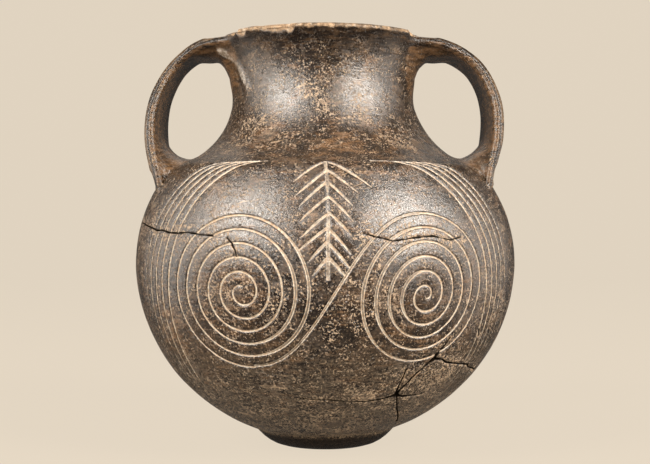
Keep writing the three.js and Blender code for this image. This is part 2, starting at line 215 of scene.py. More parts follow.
def strapSurface(side, corners):
    # a band carried along its middle line: the section is two long faces joined by half rounds,
    # its outer face has a ridge and a gutter by each border, its inner face thickens to both roots
    s = straps
    line = flowingLine(corners, s["along"])
    t = np.linspace(0.0, 1.0, s["along"])[:, None]
    tangent = np.gradient(line, axis=0)
    tangent /= np.linalg.norm(tangent, axis=1)[:, None]
    outward = np.stack([-tangent[:, 1], tangent[:, 0]], axis=1)
    width = flowingLine(s["widths"], 400)
    width = np.interp(t[:, 0], width[:, 0], width[:, 1])[:, None]
    half = s["thickness"] / 2
    length = np.linalg.norm(np.diff(line, axis=0), axis=1).sum()
    root = quarterFillet(s["rootFillet"], length * (1 - t) - s["rootSunk"])
    neck = s["neckFilletTall"] * quarterFillet(s["neckFillet"], length * t - s["neckSunk"])
    neck = neck + s["neckSwell"] * smooth(*s["neckSwellFade"], t)
    share = np.linspace(-1.0, 1.0, s["across"])[None, :]
    turn = np.linspace(0.0, math.pi, s["edge"] + 2)[1:-1][None, :]
    flat = width / 2 - half
    inner = half + root * (1.0 - np.abs(share) ** s["rootCrown"]) + neck * (1.0 - share ** s["neckCrown"])
    border = width / 2 - np.abs(share * flat)
    ridge = s["ridge"] * np.exp(-((border - s["ridgeInset"]) / s["ridgeWide"]) ** 2)
    gutter = s["gutter"] * np.exp(-((border - s["gutterInset"]) / s["gutterWide"]) ** 2)
    outerFace = np.stack([share * flat + 0 * t, half + ridge - gutter], axis=2)
    edge = half - s["edgeGroove"] * np.exp(-((turn - s["edgeGrooveTurn"]) / s["edgeGrooveWide"]) ** 2)
    rightEdge = np.stack([flat + edge * np.sin(turn), edge * np.cos(turn) + 0 * t], axis=2)
    innerFace = np.stack([-share * flat + 0 * t, -inner[:, ::-1]], axis=2)
    edge = edge[:, ::-1]
    leftEdge = np.stack([-flat - edge * np.sin(turn), -edge * np.cos(turn) + 0 * t], axis=2)
    section = np.concatenate([outerFace, rightEdge, innerFace, leftEdge], axis=1)
    across, out = section[:, :, 0], section[:, :, 1]
    x = line[:, :1] + outward[:, :1] * out
    z = line[:, 1:] + outward[:, 1:] * out
    pressed = smooth(s["neckPressed"], 0.0, t) + smooth(1 - s["rootPressed"], 1.0, t)
    x = x - pressed * (line[:, :1] - np.sqrt(np.maximum(line[:, :1] ** 2 - across ** 2, 0)))
    # what would reach through the wall of the vessel is drawn back into it
    drawn = np.maximum(1.0, (outerRadius(z) - s["inWall"]) / np.hypot(x, across))
    points = np.stack([side * x * drawn, across * drawn, z], axis=2)
    rows, n = points.shape[:2]
    points = points.reshape(-1, 3)
    ends = np.array([points[:n].mean(axis=0), points[-n:].mean(axis=0)])
    points, faces = np.vstack([points, ends]), tubeFaces(rows, n)
    # a strap made inside out has a negative volume
    a, b, c = points[faces[:, 0]], points[faces[:, 1]], points[faces[:, 2]]
    if np.einsum("ij,ij->", a, np.cross(b, c)) < 0:
        faces = faces[:, ::-1]
    return points, faces

def meshObject(name, points, faces):
    # an object at the origin, made of triangles
    mesh = bpy.data.meshes.new(name)
    mesh.vertices.add(len(points))
    mesh.vertices.foreach_set("co", np.ascontiguousarray(points, dtype=np.float32).ravel())
    mesh.loops.add(faces.size)
    mesh.loops.foreach_set("vertex_index", np.ascontiguousarray(faces, dtype=np.int32).ravel())
    mesh.polygons.add(len(faces))
    mesh.polygons.foreach_set("loop_start", np.arange(0, faces.size, 3, dtype=np.int32))
    mesh.update(calc_edges=True)
    mesh.validate()
    thing = bpy.data.objects.new(name, mesh)
    bpy.context.scene.collection.objects.link(thing)
    return thing

def meshArrays(mesh):
    # the corners and triangles of a mesh as whole arrays
    mesh.calc_loop_triangles()
    points = np.empty(len(mesh.vertices) * 3, dtype=np.float32)
    mesh.vertices.foreach_get("co", points)
    faces = np.empty(len(mesh.loop_triangles) * 3, dtype=np.int32)
    mesh.loop_triangles.foreach_get("vertices", faces)
    return points.reshape(-1, 3).astype(float), faces.reshape(-1, 3).astype(np.int64)

def joinedClay():
    # the turned body and both straps as one closed skin
    body = meshObject("clayBody", *vesselSurface())
    for name in ("left", "right"):
        strap = meshObject("clayStrap", *strapSurface(straps[name]["side"], straps[name]["line"]))
        join = body.modifiers.new(name, "BOOLEAN")
        join.operation, join.solver, join.object = "UNION", "EXACT", strap
    bpy.context.view_layer.update()
    made = body.evaluated_get(bpy.context.evaluated_depsgraph_get())
    points, faces = meshArrays(made.data)
    for thing in [o for o in bpy.context.scene.collection.objects if o.name.startswith("clay")]:
        bpy.data.objects.remove(thing)
    return points, faces

def faceEdges(faces):
    # the three edges of each face, each with its lower corner first
    return np.sort(np.concatenate([faces[:, [0, 1]], faces[:, [1, 2]], faces[:, [2, 0]]]), axis=1)

def refined(points, faces, wanted, passes):
    # splits every edge longer than wanted at its middle; a face's longest edge is always
    # split with the others, which keeps the new faces well shaped and leaves no gaps
    for step in range(passes):
        edges = faceEdges(faces)
        key = edges[:, 0] * len(points) + edges[:, 1]
        first, back = np.unique(key, return_index=True, return_inverse=True)[1:]
        ends = edges[first]
        middle = (points[ends[:, 0]] + points[ends[:, 1]]) / 2
        length = np.linalg.norm(points[ends[:, 0]] - points[ends[:, 1]], axis=1)
        mine = back.reshape(3, -1).T
        longest = length[mine].argmax(axis=1)
        marked = length > wanted(middle)
        top = mine[np.arange(len(mine)), longest]
        while True:
            needs = marked[mine].any(axis=1) & ~marked[top]
            if not needs.any():
                break
            marked[top[needs]] = True
        if not marked.any():
            break
        number = np.full(len(ends), -1)
        number[marked] = len(points) + np.arange(marked.sum())
        points = np.vstack([points, middle[marked]])
        order = (longest[:, None] + np.arange(3)) % 3
        a, b, c = np.take_along_axis(faces, order, axis=1).T
        m, n, p = number[np.take_along_axis(mine, order, axis=1)].T
        whole, left, right = m < 0, p >= 0, n >= 0
        cut = ~whole
        pieces = [faces[whole]]
        for chosen, corners in (
            (cut & ~left, (a, m, c)), (cut & left, (a, m, p)), (cut & left, (p, m, c)),
            (cut & ~right, (m, b, c)), (cut & right, (m, b, n)), (cut & right, (m, n, c)),
        ):
            pieces.append(np.stack(corners, axis=1)[chosen])
        faces = np.vstack(pieces)
    return points, faces

def gathered(places, values, count):
    # sums rows of three values by the place that each belongs to
    return np.stack([np.bincount(places, values[:, k], count) for k in range(3)], axis=1)

def pointNormals(points, faces):
    # the sum of the faces' own normals round each point, each as long as its face is large
    a, b, c = points[faces[:, 0]], points[faces[:, 1]], points[faces[:, 2]]
    flat = np.cross(b - a, c - a)
    total = gathered(faces.ravel(), np.repeat(flat, 3, axis=0), len(points))
    return total / np.maximum(np.linalg.norm(total, axis=1), 1e-12)[:, None]

def relaxed(points, faces, share, rounds):
    # draws each point towards the middle of its neighbours
    edges = np.unique(faceEdges(faces), axis=0)
    ends = np.concatenate([edges, edges[:, ::-1]])
    count = np.maximum(np.bincount(ends[:, 0], minlength=len(points)), 1)
    for step in range(rounds):
        total = gathered(ends[:, 0], points[ends[:, 1]], len(points))
        points = points + share[:, None] * (total / count[:, None] - points)
    return points

# Incised decoration, as places on the belly. Angles are in degrees and lengths in millimetres.
decor = {
    "spirals": [
        {"theta": -22.63, "phi": -6.85, "start": 0.88, "pitch": 4.891, "sway": (0.044, -0.254),
         "oval": 0.0, "ovalTurn": 0.0, "from": 75.3, "to": 2071.8, "wide": -15.0, "wideFrom": 3.2},
        {"theta": 27.90, "phi": -7.78, "start": 2.12, "pitch": 4.846, "sway": (0.133, 0.025),
         "oval": 0.025, "ovalTurn": 73.1, "from": -88.9, "to": 1892.4, "wide": 160.0, "wideFrom": 0.4},
    ],
    "stroke": {"from": (-21.9, -28.3), "to": (27.0, 14.2), "bend": 22.8, "half": 0.50},
    "bands": [
        {"side": -1, "inner": 17.8, "step": 3.6, "reach": 33.0, "narrowing": 0.12,
         "tops": (19.7, 22.7, 26.0, 30.2, 34.8)},
        {"side": 1, "inner": 18.3, "step": 4.7, "reach": 35.0, "narrowing": 1.7,
         "tops": (15.3, 24.4, 28.3, 31.7, 35.6)},
    ],
    "bandMiddle": -28.4, "bandRise": 60.0, "bandPower": 2.3, "bandFade": (-46.0, -36.0), "bandHalf": 0.40,
    "trunk": [(0.0, 31.8), (0.6, 24.0), (0.9, 12.0), (0.8, 4.0), (0.8, -3.2)], "trunkHalf": 0.62,
    "twigHalf": 0.46,
    "leftTwigs": [(31.0, -9.4, 23.5), (27.1, -8.7, 18.9), (23.4, -7.6, 15.7), (18.6, -6.9, 11.9),
                  (13.8, -6.0, 7.9), (10.0, -7.2, 3.8), (6.3, -4.6, 0.9), (2.0, -3.3, -2.4)],
    "rightTwigs": [(30.6, 13.7, 21.9), (27.1, 9.9, 19.8), (23.1, 7.7, 16.3), (18.9, 7.7, 11.9),
                   (14.3, 7.0, 8.1), (9.7, 6.9, 3.2), (5.8, 6.4, -0.3), (2.0, 5.4, -2.6)],
    "depth": 0.50, "lip": 0.10, "hollow": 0.16,
    "backPitch": 8.0, "backTurns": 2.6, "backLine": 1,
    "sphere": 75.0,
}

# Mended breaks: theta, phi and half the width at each corner
cracks = {
    "depth": 1.1,
    "lines": [
        [(39.6, -20.2, 0.08), (38.2, -22.5, 0.28), (36.4, -25.6, 0.42), (35.4, -26.9, 0.75),
         (34.2, -28.0, 0.3), (31.0, -31.2, 0.22), (28.8, -34.8, 0.24), (27.2, -37.6, 0.35),
         (26.3, -39.5, 0.75), (24.4, -40.1, 0.4), (20.5, -41.2, 0.22), (16.0, -41.8, 0.12),
         (10.0, -41.7, 0.12), (2.0, -41.0, 0.14), (-5.0, -40.7, 0.08), (-9.0, -40.0, 0.03)],
        [(35.6, -26.6, 0.4), (39.5, -27.2, 0.2), (42.0, -28.4, 0.26), (45.0, -28.9, 0.14),
         (51.0, -29.8, 0.16), (57.0, -30.8, 0.24), (58.8, -31.9, 0.1), (66.0, -33.2, 0.18),
         (72.0, -34.2, 0.06)],
        [(26.3, -39.4, 0.6), (29.5, -40.2, 0.42), (33.0, -40.3, 0.22), (37.0, -40.3, 0.14),
         (40.2, -39.8, 0.05)],
        [(27.4, -40.3, 0.1), (29.4, -43.6, 0.12), (32.0, -47.0, 0.1), (35.0, -49.8, 0.1),
         (38.0, -52.4, 0.12), (40.0, -54.4, 0.16), (41.2, -55.6, 0.35)],
        [(26.4, -29.6, 0.05), (26.2, -33.0, 0.1), (26.0, -36.0, 0.12), (26.0, -38.2, 0.16)],
        [(-76.0, 11.9, 0.05), (-70.0, 11.4, 0.09), (-64.0, 10.6, 0.1), (-61.0, 10.2, 0.1),
         (-57.5, 9.5, 0.11), (-54.0, 9.6, 0.1), (-50.0, 8.9, 0.12), (-46.0, 8.7, 0.1), (-41.0, 8.9, 0.07),
         (-37.0, 8.4, 0.05), (-32.0, 8.0, 0.03)],
        [(-27.0, 7.4, 0.04), (-25.6, 5.9, 0.07), (-24.4, 4.2, 0.07), (-24.0, 2.6, 0.03)],
        [(10.0, 8.6, 0.04), (14.0, 7.6, 0.07), (18.5, 6.6, 0.05), (24.0, 7.4, 0.07), (30.0, 7.9, 0.06),
         (36.0, 6.8, 0.04), (40.0, 7.6, 0.03)],
        [(53.4, -19.0, 0.2), (54.2, -20.6, 0.32)],
    ],
}

def bellyPlace(points):
    # theta, phi in degrees and the unit direction, seen from the middle of the belly
    ray = points - np.array([0.0, 0.0, vessel["bellyHeight"]])
    ray = ray / np.maximum(np.linalg.norm(ray, axis=1), 1e-9)[:, None]
    theta = np.degrees(np.arctan2(ray[:, 0], -ray[:, 1]))
    phi = np.degrees(np.arcsin(np.clip(ray[:, 2], -1, 1)))
    return theta, phi, ray

def onBelly(theta, phi):
    # where the ray at theta and phi meets the two half ellipses of the belly
    theta, phi = np.radians(theta), np.radians(phi)
    ray = np.stack([np.sin(theta) * np.cos(phi), -np.cos(theta) * np.cos(phi), np.sin(phi)], axis=-1)
    tall = np.where(phi < 0, vessel["lowerDepth"], vessel["upperRise"])
    reach = 1.0 / np.hypot(np.cos(phi) / vessel["bellyRadius"], np.sin(phi) / tall)
    return ray * reach[..., None] + np.array([0.0, 0.0, vessel["bellyHeight"]])

def spiralGap(spiral, ray, turned, loose):
    # distance to the nearest turn of a spiral whose distance from its centre grows evenly with
    # the bearing; sway and oval are what the hand added; loose is a wider pitch, or nothing
    ct, cp = math.radians(spiral["theta"] + turned), math.radians(spiral["phi"])
    ahead = np.array([math.sin(ct) * math.cos(cp), -math.cos(ct) * math.cos(cp), math.sin(cp)])
    right = np.array([math.cos(ct), math.sin(ct), 0.0])
    up = np.cross(ahead, right)
    rho = decor["sphere"] * np.arccos(np.clip(ray @ ahead, -1, 1))
    bearing = np.degrees(np.arctan2(ray @ up, ray @ right))
    a = np.radians(bearing)
    grown = 1.0 + spiral["oval"] * np.cos(2 * (a - math.radians(spiral["ovalTurn"])))
    pitch = loose or spiral["pitch"]
    perTurn = pitch * grown + spiral["sway"][0] * np.sin(a) + spiral["sway"][1] * np.cos(a)
    start = spiral["start"] * grown
    last = spiral["from"] / 360 + decor["backTurns"] if loose else spiral["to"] / 360
    turns = np.round((rho - start) / perTurn - bearing / 360)
    turns = np.clip(turns, np.ceil(spiral["from"] / 360 - bearing / 360), np.floor(last - bearing / 360))
    turns = turns + bearing / 360
    wide = smooth(0.2, 1.0, np.cos(a - math.radians(spiral["wide"])))
    wide = wide * smooth(spiral["wideFrom"], spiral["wideFrom"] + 1, turns)
    return np.abs(rho - start - perTurn * turns), wide

def bandGap(band, line, theta, phi):
    # distance to a line that climbs straight, then bends over along a rounded quarter:
    # the value of its implicit formula over the length of that formula's slope
    inner = band["inner"] + band["step"] * line
    reach = band["reach"] - band["narrowing"] * line
    power = decor["bandPower"]
    out = np.clip((theta * band["side"] - inner) / reach, 0.0, None)
    up = np.clip((phi - decor["bandMiddle"]) / decor["bandRise"], 0.0, None)
    value = out ** power + up ** power - 1.0
    perMm = 180.0 / math.pi / decor["sphere"]
    narrower = np.maximum(np.cos(np.radians(phi)), 0.2)
    slope = np.hypot(power * out ** (power - 1) / reach * perMm / narrower,
                     power * up ** (power - 1) / decor["bandRise"] * perMm)
    gap = np.abs(value) / np.maximum(slope, 1e-6)
    past = np.clip(band["tops"][line] - theta * band["side"], 0.0, None) / perMm
    return np.hypot(gap, past)

def routeGap(points, route, halves):
    # distance to a row of straight pieces, less half its width there
    route, halves = np.asarray(route), np.asarray(halves, dtype=float)
    middle = route.mean(axis=0)
    reach = np.linalg.norm(route - middle, axis=1).max() + 6
    near = np.linalg.norm(points - middle, axis=1) < reach
    some = points[near]
    nearest = np.full(len(some), 50.0)
    for a, b, ha, hb in zip(route[:-1], route[1:], halves[:-1], halves[1:]):
        span = b - a
        t = np.clip((some - a) @ span / np.linalg.norm(span) ** 2, 0.0, 1.0)
        gap = np.linalg.norm(some - a - t[:, None] * span, axis=1) - (ha + (hb - ha) * t)
        nearest = np.minimum(nearest, gap)
    best = np.full(len(points), 50.0)
    best[near] = nearest
    return best

def strokeRoute():
    # the long stroke between the spirals: a cubic in theta over an eased rise in phi
    (x0, y0), (x3, y3), bend = (decor["stroke"][key] for key in ("from", "to", "bend"))
    t = np.linspace(0.0, 1.0, 26)
    back = 1 - t
    theta = back ** 3 * x0 + 3 * back ** 2 * t * (x0 + bend) + 3 * back * t ** 2 * (x3 - bend) + t ** 3 * x3
    phi = back ** 2 * (1 + 2 * t) * y0 + t ** 2 * (3 - 2 * t) * y3
    return onBelly(theta, phi)

def twigRoute(root, tip, side):
    # a twig leaves the trunk a little flatter than it ends
    t = np.linspace(0.0, 1.0, 5)
    theta = 0.8 + side * 0.4 + (tip[0] - 0.8 - side * 0.4) * t
    phi = root + (tip[1] - root) * (t + 0.14 * (t * t - t) * (2.0 if root > 30 else 1.0))
    return onBelly(theta, phi)

def lineFields(points):
    # for each point: gap to the border of the nearest incised line, how full of pale paste that
    # line is, and how much it splits in two
    theta, phi, ray = bellyPlace(points)
    hand = clayNoise(points, 5.0, 11)
    gaps = np.full(len(points), 50.0)
    fill = np.ones(len(points))
    split = np.zeros(len(points))

    def keep(gap, full, parted):
        nonlocal gaps, fill, split
        closer = gap < gaps
        gaps = np.where(closer, gap, gaps)
        fill = np.where(closer, full, fill)
        split = np.where(closer, parted, split)

    for spiral in decor["spirals"]:
        gap, wide = spiralGap(spiral, ray, 0.0, 0.0)
        keep(gap - (0.36 + 0.26 * wide + 0.08 * hand), 0.95 - 0.15 * wide, wide)
        gap, wide = spiralGap(spiral, ray, 180.0, decor["backPitch"])
        keep(gap - 0.34 - 0.05 * hand, 0.6, 0.3 * wide)
    gap = routeGap(points, strokeRoute(), np.full(26, decor["stroke"]["half"]))
    keep(gap - 0.05 * hand, 0.75, 0.9)

    # the bands thin out and lose their paste low down
    fade = smooth(*decor["bandFade"], phi)
    gone = 1.2 * (1 - fade) ** 2
    backTheta = (theta + 360.0) % 360.0 - 180.0
    for band in decor["bands"]:
        for line in range(len(band["tops"])):
            gap = bandGap(band, line, theta, phi) - decor["bandHalf"] * (0.45 + 0.55 * fade) - 0.05 * hand
            keep(gap + gone, (0.82 + 0.18 * smooth(-26.0, 6.0, phi)) * fade, 0.0)
    for band in decor["bands"]:
        keep(bandGap(band, decor["backLine"], backTheta, phi) - decor["bandHalf"] + gone, 0.6, 0.0)

    trunk = np.array(decor["trunk"])
    gap = routeGap(points, onBelly(trunk[:, 0], trunk[:, 1]), np.full(len(trunk), decor["trunkHalf"]))
    keep(gap - 0.12 * hand, 0.68, 0.5)
    twigHalves = decor["twigHalf"] * np.array([1.15, 1.05, 1.0, 0.85, 0.4])
    for side, twigs in ((-1, decor["leftTwigs"]), (1, decor["rightTwigs"])):
        for root, tipTheta, tipPhi in twigs:
            gap = routeGap(points, twigRoute(root, (tipTheta, tipPhi), side), twigHalves)
            keep(gap - 0.10 * hand, 0.72, 0.25)
    offBelly = (phi > 40) | (np.abs(points[:, 2] - vessel["bellyHeight"]) > 60)
    return np.where(offBelly, 50.0, gaps), fill, split

def crackField(points):
    # gap to the border of the nearest break, with a jagged hand
    gaps = np.full(len(points), 50.0)
    for line in cracks["lines"]:
        corners = np.array(line)
        route = onBelly(corners[:, 0], corners[:, 1])
        gaps = np.minimum(gaps, routeGap(points, route, corners[:, 2]))
    jitter = 0.10 * clayNoise(points, 1.6, 21)
    return np.where(gaps < 3, gaps - 0.06 + jitter, gaps)

# Chips of the lip: angle from the front, half the breadth, depth below the lip and depth inwards
chips = [
    {"at": -57.5, "half": 4.4, "deep": 2.4, "bite": 1.7, "notch": 1.1},
    {"at": -49.0, "half": 5.6, "deep": 3.2, "bite": 1.0, "notch": 0.0},
    {"at": -25.0, "half": 11.5, "deep": 3.0, "bite": 1.1, "notch": 0.15},
    {"at": -17.0, "half": 4.0, "deep": 3.4, "bite": 0.9, "notch": 0.0},
    {"at": 61.0, "half": 5.0, "deep": 1.6, "bite": 0.6, "notch": -0.35},
    {"at": 168.0, "half": 7.0, "deep": 2.4, "bite": 1.1, "notch": 0.4},
    {"at": 118.0, "half": 4.0, "deep": 1.8, "bite": 0.8, "notch": 0.3},
]

def chipField(points):
    # how far a point is inside a chip, from 0 to 1 over a ragged edge, and the depths cut there
    turn = np.degrees(np.arctan2(points[:, 0], -points[:, 1]))
    radius = np.hypot(points[:, 0], points[:, 1])
    below = vessel["lipHeight"] - points[:, 2]
    ragged = 0.16 * clayNoise(points, 2.2, 31) + 0.10 * clayNoise(points, 0.9, 32)
    outside = radius > neckRadius(points[:, 2], 1.6)
    total = np.zeros(len(points))
    bite = np.zeros(len(points))
    notch = np.zeros(len(points))
    for chip in chips:
        aside = (turn - chip["at"] + 180) % 360 - 180
        shape = 1.0 - (aside / chip["half"]) ** 2 - (below / chip["deep"]) ** 2 + ragged
        inside = smooth(0.0, 0.16, shape)
        total = np.maximum(total, inside)
        bite = np.maximum(bite, inside * chip["bite"])
        notch = notch + chip["notch"] * smooth(0.0, 0.5, shape)
    near = (below < 6) & (np.abs(radius - 40) < 8)
    return np.where(near, total, 0), np.where(near & outside, bite, 0), np.where(near, notch, 0)

def smearField(points):
    # the left handle's border runs down on the neck as a low smear of clay
    route = np.array([(-40.2, -12.0, 156.0), (-37.4, -15.6, 151.5), (-33.6, -18.0, 147.0),
                      (-30.6, -19.6, 142.5), (-28.4, -21.8, 138.0)])
    gap = routeGap(points, route, [1.2, 1.8, 1.9, 1.4, 0.4])
    return np.exp(-(np.clip(gap + 0.8, 0.0, None) / 1.1) ** 2)

def strapPlaces(points, strap):
    # for points of the straps: distance in from the border, and out from the strap's middle line
    border = np.full(len(points), 20.0)
    out = np.zeros(len(points))
    steps = 84
    widths = flowingLine(straps["widths"], steps)
    for name in ("left", "right"):
        side = straps[name]["side"]
        line = flowingLine(straps[name]["line"], steps)
        ahead = np.gradient(line, axis=0)
        outward = np.stack([-ahead[:, 1], ahead[:, 0]], axis=1) / np.linalg.norm(ahead, axis=1)[:, None]
        mine = np.flatnonzero(strap & (points[:, 0] * side > 0))
        place = np.stack([points[mine, 0] * side, points[mine, 2]], axis=1)
        nearest = ((place[:, None, :] - line[None, :, :]) ** 2).sum(axis=2).argmin(axis=1)
        out[mine] = ((place - line[nearest]) * outward[nearest]).sum(axis=1)
        half = np.interp(nearest / (steps - 1), widths[:, 0], widths[:, 1]) / 2
        border[mine] = np.clip(half - np.abs(points[mine, 1]), 0.0, 20.0)
    return border, out

# Broad tones of the surface: theta, phi, reach in degrees and strength
zones = {
    "warmZone": [(8, 38, 15, 1.0), (-14, 36, 12, 0.6), (6, 27, 9, 0.8), (-24, -12, 15, 0.6),
        (-52, -18, 14, 0.9), (-34, 44, 12, 0.7), (30, 4, 10, 0.5), (-10, -44, 12, 0.4),
        (36, 46, 8, 0.6), (28, -12, 12, 0.4), (150, -10, 30, 0.7), (-120, 20, 25, 0.6),
        (90, -30, 20, 0.5)],
    "paleZone": [(14, -40, 9, 1.0), (40, -34, 12, 1.0), (30, -42, 8, 0.7), (0, -56, 20, 0.8),
        (-2, 58, 6, 0.9), (20, 56, 6, 0.9), (38, 46, 7, 0.9), (-40, 52, 8, 0.8),
        (-28, 46, 10, 0.6), (16, -8, 12, 0.45), (-22, -8, 14, 0.45), (-62, 10, 14, 0.5),
        (62, -10, 14, 0.5), (-100, -30, 22, 0.6), (170, -50, 25, 0.7)],
    "darkZone": [(2, -18, 11, 1.0), (-4, 52, 12, 0.7), (-42, 30, 9, 0.7), (48, 32, 9, 0.7),
        (-6, -30, 9, 0.6), (26, -26, 9, 0.6), (-44, -2, 9, 0.5), (10, 14, 8, 0.5),
        (110, 10, 22, 0.7), (-150, -20, 24, 0.7)],
}

def zoneField(points, spots):
    # the strongest of some soft spots, with ragged borders
    theta, phi = bellyPlace(points)[:2]
    theta, phi = theta + 3.0 * clayNoise(points, 9.0, 51), phi + 3.0 * clayNoise(points, 9.0, 52)
    total = np.zeros(len(points))
    for spotTheta, spotPhi, reach, strength in spots:
        aside = ((theta - spotTheta + 180) % 360 - 180) * np.cos(np.radians(spotPhi))
        away = np.hypot(aside, phi - spotPhi) / reach
        total = np.maximum(total, strength * smooth(1.3, 0.2, away))
    return total

def uneven(points):
    # leans the neck and lifts the lip towards the handles; it fades out along the straps
    x, y, z = points.T
    share = 1.0 - smooth(44.0, 62.0, np.abs(x))
    start = vessel["waistHeight"] - vessel["neckCurve"]
    lean = vessel["neckLean"] * smooth(start, vessel["lipHeight"], z)
    lift = vessel["lipLift"] * smooth(vessel["waistHeight"], vessel["lipHeight"], z)
    lift = lift * np.clip(np.abs(x) / 39.7, 0, 1) ** 2
    return np.stack([x + lean * share, y, z + lift * share], axis=1)

# How long an edge of the mesh may be, in millimetres, and how fast it may grow away from detail
edges = {
    "open": 5.4, "inside": 20.0, "strap": 2.4, "seam": 1.65, "nearSeam": 6.0, "seamCell": 1.5,
    "frontLine": 0.58, "backLine": 1.6, "crack": 0.45, "growth": 1.5,
    "frontRim": 1.1, "backRim": 1.8, "chip": 0.55,
}

def amphoraMesh():
    points, faces = joinedClay()
    print("body and straps joined:", len(faces), "faces")

    def bodyGap(p):
        # how far a point stands off the turned body
        return np.hypot(p[:, 0], p[:, 1]) - outerRadius(p[:, 2])

    def isStrap(p):
        # proud of the turned body, beside the neck or on the shoulder
        return (bodyGap(p) > 0.25) & (p[:, 2] > 90) & (np.abs(p[:, 0]) > 28)

    # the seam runs through the faces that have corners on both sides of it
    proud = isStrap(points)[faces]
    seam = points[np.unique(faces[proud.any(axis=1) & ~proud.all(axis=1)])]
    cells = np.unique(np.round(seam / edges["seamCell"]).astype(int), axis=0) * edges["seamCell"]

    def seamGap(p):
        # distance to the nearest cell that the seam goes through, looked for in small lots
        gap = np.full(len(p), 50.0)
        near = (np.abs(p[:, 0]) > 20) & (p[:, 2] > 88) & (np.hypot(p[:, 0], p[:, 1]) > 30)
        some = p[near]
        best = np.full(len(some), 2500.0)
        for start in range(0, len(cells), 64):
            part = cells[start:start + 64]
            best = np.minimum(best, ((some[:, None, :] - part[None, :, :]) ** 2).sum(axis=2).min(axis=1))
        gap[near] = np.sqrt(best)
        return gap

    def roughStep(p):
        near = seamGap(p)
        wanted = np.where(near < edges["nearSeam"], edges["seam"], edges["open"])
        wanted = np.where(bodyGap(p) < -2, edges["inside"], wanted)
        return np.where(isStrap(p) & (near >= edges["nearSeam"]), edges["strap"], wanted)

    points, faces = refined(points, faces, roughStep, 4)
    inside = np.hypot(points[:, 0], points[:, 1]) < neckRadius(points[:, 2], 2.2)
    share = 0.55 * smooth(5.5, 0.5, seamGap(points)) * ~inside
    points = relaxed(points, faces, share, 26)
    print("roots filleted:", len(faces), "faces")

    lip = vessel["lipHeight"]

    def fineStep(p):
        line, crack, chip = lineFields(p)[0], crackField(p), chipField(p)[0]
        front = np.abs(np.degrees(np.arctan2(p[:, 0], -p[:, 1]))) < 90
        finest = np.where(front, edges["frontLine"], edges["backLine"])
        wanted = np.minimum(edges["open"], finest + edges["growth"] * np.clip(line - 0.25, 0, None))
        wanted = np.minimum(wanted, edges["crack"] + edges["growth"] * np.clip(crack - 0.2, 0, None))
        wanted = np.where(bodyGap(p) < -2, edges["inside"], wanted)
        rim = (lip - p[:, 2] < 4.5) & (np.hypot(p[:, 0], p[:, 1]) < 46)
        rimStep = np.where(front, edges["frontRim"], edges["backRim"])
        wanted = np.where(rim, np.minimum(wanted, rimStep), wanted)
        return np.where((chip > 0.02) & (chip < 0.98), edges["chip"], wanted)

    points, faces = refined(points, faces, fineStep, 9)
    print("refined by the lines, breaks and chips:", len(faces), "faces")

    # points that splitting left on flat facets go back to the turned surface
    gap = bodyGap(points)
    z = points[:, 2]
    radius = np.hypot(points[:, 0], points[:, 1])
    settle = (np.abs(gap) < 0.12) & (z > 6.5) & (z < 157) & (seamGap(points) > 6)
    points[settle, :2] *= (1.0 - gap[settle] / radius[settle])[:, None]

    outer = gap > -1.6
    normals = pointNormals(points, faces)
    lineGap, lineFill, lineSplit = lineFields(points)
    crackGap = crackField(points)
    chip, bite, notch = chipField(points)
    smear = smearField(points)
    strap = isStrap(points)
    below = lip - z

    # the underside stays flat; the hand's lumps are sunk a little, to stay inside the solid
    lumps = vessel["lumps"] * clayNoise(points, vessel["lumpSize"], 3)
    lumps = lumps + vessel["dents"] * clayNoise(points, vessel["dentSize"], 4)
    lumps = np.where(z < 6.5, 0.0, lumps) * outer - 0.18 * outer * (z > 6.5)
    groove = -decor["depth"] * smooth(0.12, -0.30, lineGap)
    groove = groove + decor["lip"] * np.exp(-((lineGap - 0.28) / 0.2) ** 2)
    core = smooth(-0.22, -0.42, lineGap) * lineSplit
    groove = groove + 0.16 * core - decor["hollow"] * smooth(1.7, 0.3, lineGap)
    split = -cracks["depth"] * smooth(0.10, -0.22, crackGap) - 0.12 * smooth(0.7, 0.0, crackGap)
    worn = 0.35 * clayNoise(points, 4.5, 41) + 0.2 * clayNoise(points, 1.7, 42)
    rim = smooth(3.0, 0.4, below) * (radius < 46)
    move = lumps + np.where(outer & ~strap, groove + split, 0.0) - bite
    move = move + 1.1 * smear * outer + 0.12 * worn * rim
    points = points + normals * move[:, None]
    points[:, 2] -= np.where(rim > 0, rim * (notch + 0.3 * np.clip(worn, -0.2, 1)), 0.0)
    points = uneven(points)

    border, outOfMiddle = strapPlaces(points, strap)
    fields = {
        "lineGap": np.clip(lineGap, -1, 3), "lineFill": lineFill, "lineSplit": lineSplit,
        "crackGap": np.clip(crackGap, -1, 6), "bare": chip, "smear": smear * outer,
        "inside": (~outer).astype(float), "strap": strap.astype(float),
        "belowLip": below, "border": border, "outOfMiddle": outOfMiddle,
    }
    for name, spots in zones.items():
        fields[name] = zoneField(points, spots)
    return points, faces, fields

points, faces, fields = amphoraMesh()
amphora = meshObject("amphoraClay", points * 0.001, faces)
amphora.data.polygons.foreach_set("use_smooth", np.ones(len(faces), dtype=bool))
for name, values in fields.items():
    layer = amphora.data.attributes.new(name, "FLOAT", "POINT")
    layer.data.foreach_set("value", values.astype(np.float32))
print("amphora mesh:", len(faces), "triangles")

def nodeMaker(tree):
    # a short way to add a node: its inputs are wired or set, its settings are set
    def make(kind, inputs=None, **settings):
        node = tree.nodes.new("ShaderNode" + kind)
        for key, value in settings.items():
            setattr(node, key, value)
        for key, value in (inputs or {}).items():
            if isinstance(value, bpy.types.NodeSocket):
                tree.links.new(value, node.inputs[key])
            else:
                node.inputs[key].default_value = value
        return node
    return make

